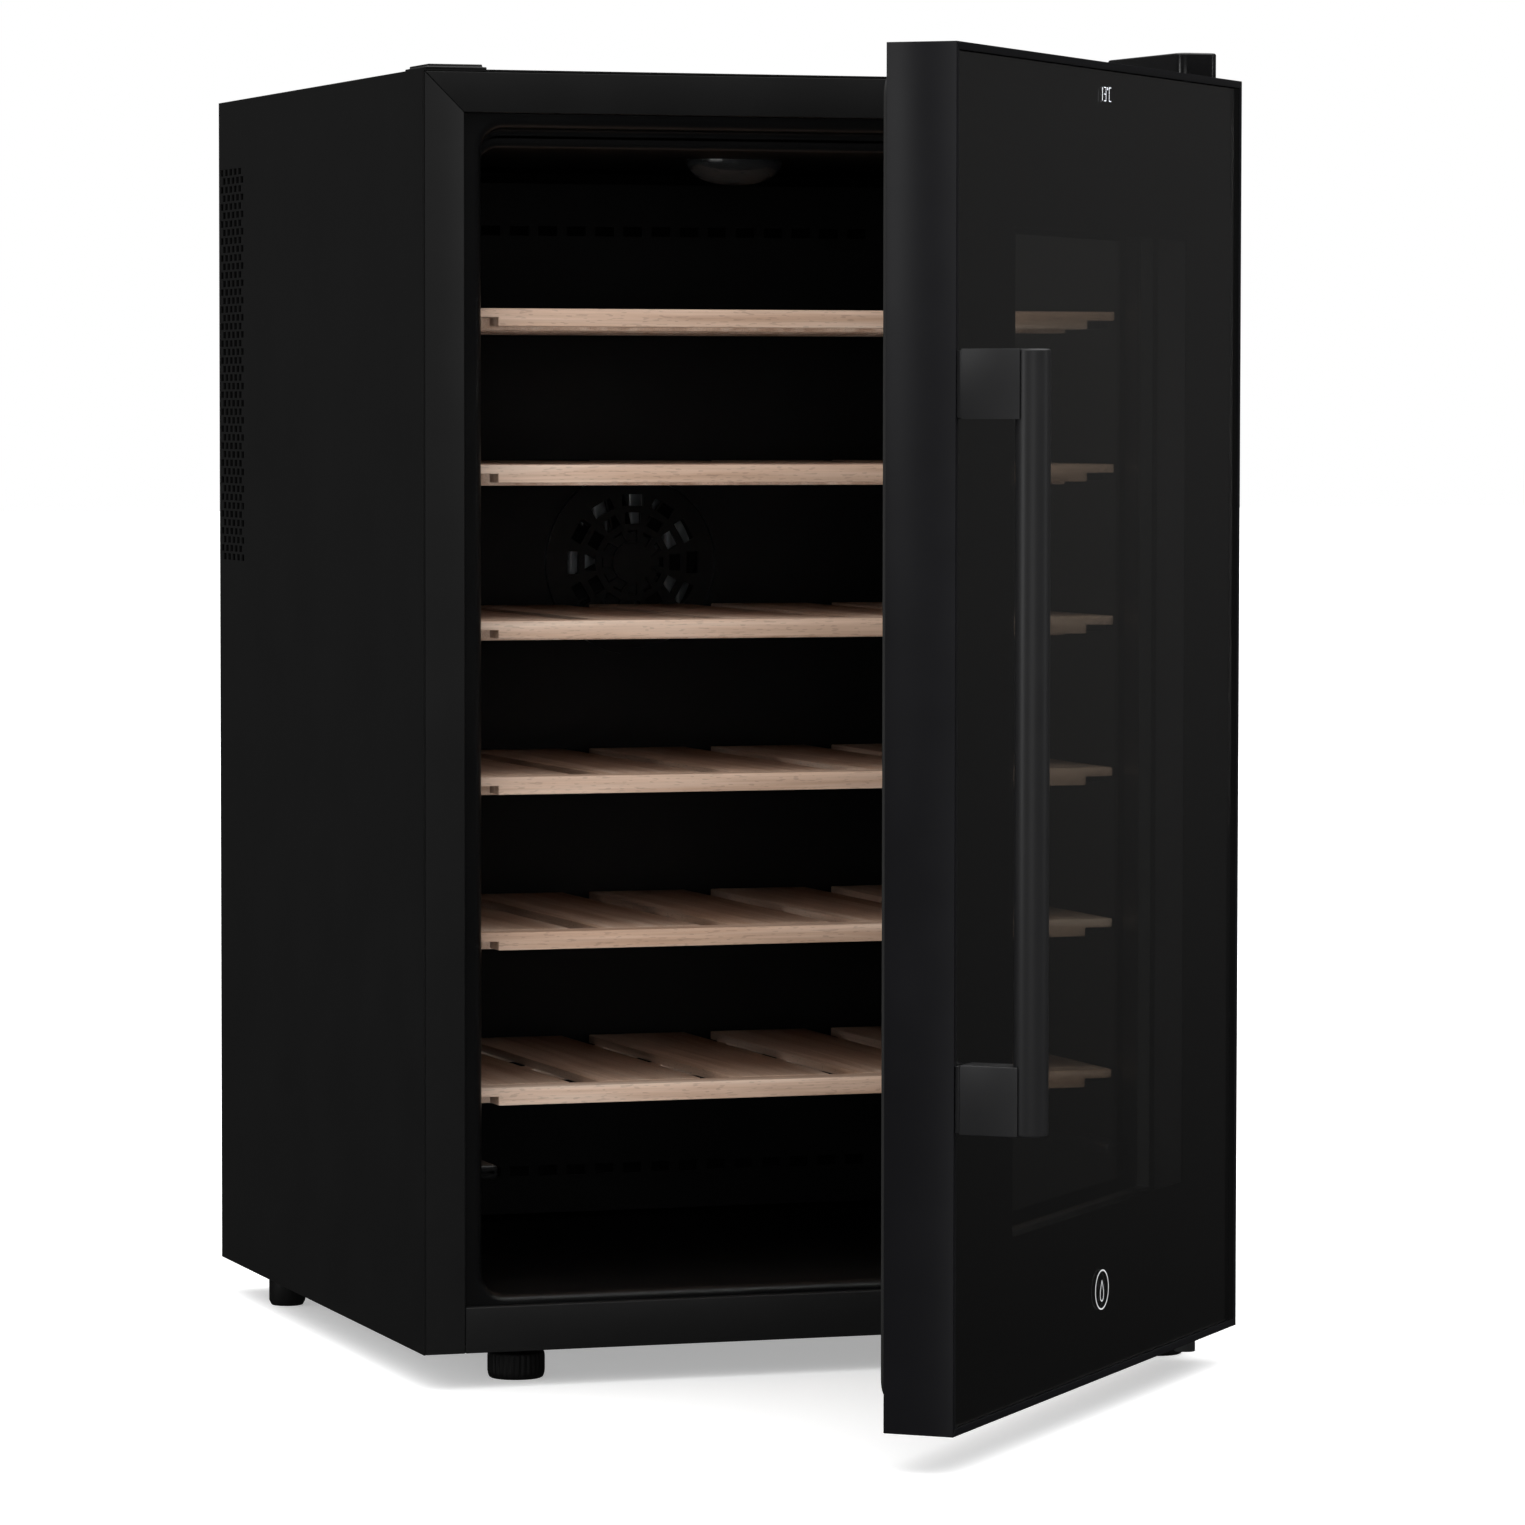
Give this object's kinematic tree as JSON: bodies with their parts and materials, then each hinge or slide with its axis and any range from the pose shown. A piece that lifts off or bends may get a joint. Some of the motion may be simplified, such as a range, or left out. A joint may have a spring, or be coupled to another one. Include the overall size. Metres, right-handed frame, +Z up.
{
  "type": "wine cooler",
  "caption": "free-standing black bottle cooler, glass door ajar on right-hand pivots with a vertical bar handle, sliding beech shelves, thermoelectric cold unit behind",
  "frame": {"origin": "on the floor, under the middle of the whole object as it stands with the door ajar; that is 7.5 mm from the cabinet's centre plane towards the hinge side and 31 mm behind the front frame's face", "axes": "+Z up, +Y towards the back of the cabinet, +X towards the hinge side"},
  "size_m": [0.4748, 0.8624, 0.745],
  "materials": {
    "steel_black": "satin",
    "frame_black": "satin",
    "galvanised": "satin",
    "liner_black": "satin",
    "plastic_black": "satin",
    "door_black": "satin",
    "foam": "matte",
    "aluminium": "satin",
    "spacer_black": "satin",
    "display_white": "gloss",
    "print_grey": "matte",
    "board_green": "matte",
    "ceramic_tile": "matte",
    "lens": "gloss",
    "glass_dark": "gloss",
    "glass_clear": "gloss",
    "print_black": "gloss",
    "gasket_rubber": "matte",
    "handle_black": "satin",
    "zinc": "satin",
    "bush_nylon": "satin",
    "beech": "satin"
  },
  "bodies": {
    "cabinet": {"side_panel_left": "steel_black", "side_panel_right": "steel_black", "top_panel": "steel_black", "base_plate": "galvanised", "rear_cover": "steel_black", "frame_stile_left": "frame_black", "frame_stile_right": "frame_black", "frame_rail_top": "frame_black", "frame_rail_bottom": "frame_black", "liner": "liner_black", "foam": "foam", "inner_back_cover": "liner_black", "cold_sink": "aluminium", "cold_fan_frame": "plastic_black", "heat_pump": "ceramic_tile", "hot_sink": "aluminium", "hot_fan_frame": "plastic_black", "power_board": "board_green", "inlet_socket": "plastic_black", "lamp_lens": "lens", "lamp_board": "board_green", "hinge_plate_top": "zinc", "hinge_plate_bottom": "zinc", "hinge_cover": "plastic_black", "hinge_cap_left": "plastic_black", "hinge_screws": "zinc", "feet_rear": "plastic_black"},
    "door": {"door_stile_free": "door_black", "door_stile_hinge": "door_black", "door_rail_top": "door_black", "door_rail_bottom": "door_black", "glass_outer": "glass_dark", "glass_border": "print_black", "glass_inner": "glass_clear", "glass_spacer": "spacer_black", "door_inner_frame": "plastic_black", "gasket": "gasket_rubber", "display_board": "plastic_black", "hinge_bushes": "bush_nylon", "handle_bar": "handle_black", "handle_bracket_upper": "handle_black", "handle_bracket_lower": "handle_black", "handle_screws": "zinc"},
    "shelf_1": {"shelf_1_front": "beech", "shelf_1_deck": "beech"},
    "shelf_2": {"shelf_2_front": "beech", "shelf_2_deck": "beech"},
    "shelf_3": {"shelf_3_front": "beech", "shelf_3_deck": "beech"},
    "shelf_4": {"shelf_4_front": "beech", "shelf_4_deck": "beech"},
    "shelf_5": {"shelf_5_front": "beech", "shelf_5_deck": "beech"},
    "shelf_6": {"shelf_6_front": "beech", "shelf_6_deck": "beech"},
    "cold_fan": {"cold_fan_rotor": "plastic_black"},
    "hot_fan": {"hot_fan_rotor": "plastic_black"},
    "foot_left": {"foot_front_left": "plastic_black"},
    "foot_right": {"foot_front_right": "plastic_black"}
  },
  "joints": [
    {"name": "door_hinge", "type": "hinge", "parent": "cabinet", "child": "door", "pos_m": [0.2085, -0.0505, 0.375], "axis": [0, 0, 1], "range_deg": [-49.2, 55.8]},
    {"name": "shelf_1_slide", "type": "slide", "parent": "cabinet", "child": "shelf_1", "axis": [0, -1, 0], "range_m": [0, 0.06]},
    {"name": "shelf_2_slide", "type": "slide", "parent": "cabinet", "child": "shelf_2", "axis": [0, -1, 0], "range_m": [0, 0.06]},
    {"name": "shelf_3_slide", "type": "slide", "parent": "cabinet", "child": "shelf_3", "axis": [0, -1, 0], "range_m": [0, 0.06]},
    {"name": "shelf_4_slide", "type": "slide", "parent": "cabinet", "child": "shelf_4", "axis": [0, -1, 0], "range_m": [0, 0.06]},
    {"name": "shelf_5_slide", "type": "slide", "parent": "cabinet", "child": "shelf_5", "axis": [0, -1, 0], "range_m": [0, 0.06]},
    {"name": "shelf_6_slide", "type": "slide", "parent": "cabinet", "child": "shelf_6", "axis": [0, -1, 0], "range_m": [0, 0.06]},
    {"name": "cold_fan_spin", "type": "hinge", "parent": "cabinet", "child": "cold_fan", "pos_m": [-0.0075, 0.3245, 0.45], "axis": [0, 1, 0], "continuous": true},
    {"name": "hot_fan_spin", "type": "hinge", "parent": "cabinet", "child": "hot_fan", "pos_m": [-0.0075, 0.41, 0.45], "axis": [0, 1, 0], "continuous": true},
    {"name": "foot_left_turn", "type": "hinge", "parent": "cabinet", "child": "foot_left", "pos_m": [-0.1725, 0.009, 0.01], "axis": [0, 0, 1], "continuous": true},
    {"name": "foot_right_turn", "type": "hinge", "parent": "cabinet", "child": "foot_right", "pos_m": [0.2055, -0.013, 0.01], "axis": [0, 0, 1], "continuous": true}
  ]
}
